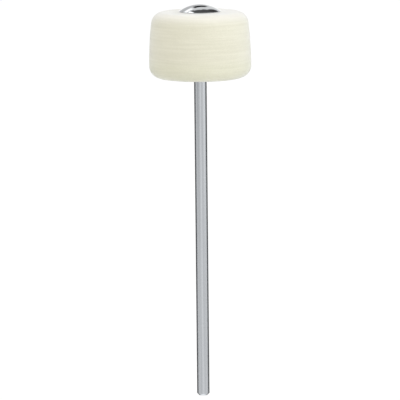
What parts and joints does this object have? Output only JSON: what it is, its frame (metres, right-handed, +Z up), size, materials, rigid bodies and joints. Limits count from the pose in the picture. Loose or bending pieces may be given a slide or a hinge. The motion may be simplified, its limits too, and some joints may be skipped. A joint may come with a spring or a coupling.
{
  "type": "bass drum beater",
  "caption": "Bass drum beater: a barrel-shaped hard felt head on a straight plated steel rod, held by a low domed cap nut, for a pedal hub that clamps the rod.",
  "frame": {"origin": "middle of the rod's foot, on the rod's axis", "axes": "+Z up the rod towards the felt head; -Y is the side that the picture shows"},
  "size_m": [0.065, 0.065, 0.2546],
  "materials": {
    "plated_rod": "satin",
    "wool_felt": "matte",
    "cap_chrome": "polished",
    "zinc_plate": "satin",
    "spring_steel": "satin"
  },
  "bodies": {
    "rod": {"beater_rod": "plated_rod", "retaining_ring": "spring_steel", "lower_washer": "zinc_plate", "upper_washer": "zinc_plate"},
    "head": {"felt_head": "wool_felt"},
    "lock_washer": {"spring_washer": "spring_steel"},
    "cap": {"cap_nut": "cap_chrome"}
  },
  "joints": [
    {"name": "head_turn", "type": "hinge", "parent": "rod", "child": "head", "pos_m": [0, 0, 0.2289], "axis": [0, 0, 1], "continuous": true},
    {"name": "nut_rise", "type": "slide", "parent": "rod", "child": "lock_washer", "axis": [0, 0, 1], "range_m": [0, 0.003]},
    {"name": "nut_turn", "type": "hinge", "parent": "lock_washer", "child": "cap", "pos_m": [0, 0, 0.2499], "axis": [0, 0, 1], "range_deg": [0, 1080]}
  ],
  "couplings": [
    {"joint": "nut_rise", "follows": "nut_turn", "m_per_rad": 0.00015915}
  ]
}
